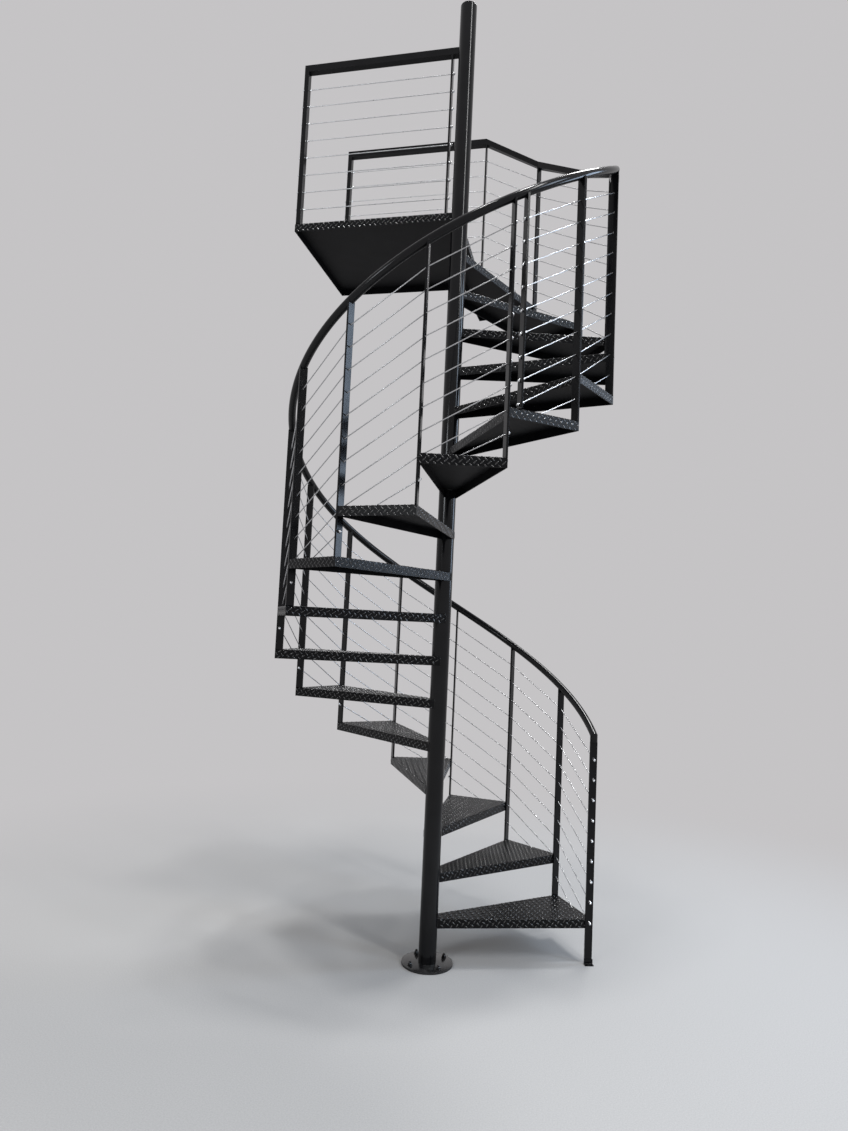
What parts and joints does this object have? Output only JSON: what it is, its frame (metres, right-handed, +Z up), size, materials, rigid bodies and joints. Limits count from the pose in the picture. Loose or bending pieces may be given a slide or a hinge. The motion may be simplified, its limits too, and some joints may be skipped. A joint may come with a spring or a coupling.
{
  "type": "spiral staircase",
  "caption": "Spiral staircase on a round centre column, with folded chequer plate wedge treads, flat bar posts, a round helical handrail, cable infill and a guarded landing at the top.",
  "frame": {"origin": "on the column axis, in the underside of the base plate, at floor level", "axes": "+Z up along the column; -X from the column along the landing to the upper floor; +Y from the column to the landing's corner post"},
  "size_m": [1.7673, 1.6676, 5.038],
  "materials": {
    "coated_steel": "satin black powder coat",
    "stainless": "bright stainless"
  },
  "bodies": {
    "root": {"base_plate": "coated_steel", "column": "coated_steel", "column_cap": "coated_steel", "newel_post": "coated_steel", "newel_clip": "coated_steel", "posts_lower": "coated_steel", "posts_middle": "coated_steel", "posts_upper": "coated_steel", "posts_landing": "coated_steel", "handrail": "coated_steel", "guard_rail": "coated_steel", "landing_rail": "coated_steel", "landing": "coated_steel", "tread_01": "coated_steel", "tread_02": "coated_steel", "tread_03": "coated_steel", "tread_04": "coated_steel", "tread_05": "coated_steel", "tread_06": "coated_steel", "tread_07": "coated_steel", "tread_08": "coated_steel", "tread_09": "coated_steel", "tread_10": "coated_steel", "tread_11": "coated_steel", "tread_12": "coated_steel", "tread_13": "coated_steel", "tread_14": "coated_steel", "tread_15": "coated_steel", "tread_16": "coated_steel", "tread_17": "coated_steel", "cables_lower": "stainless", "cables_upper": "stainless", "cables_landing": "stainless", "cables_short": "stainless", "cable_fittings": "stainless", "cable_ferrules": "stainless"}
  },
  "joints": []
}
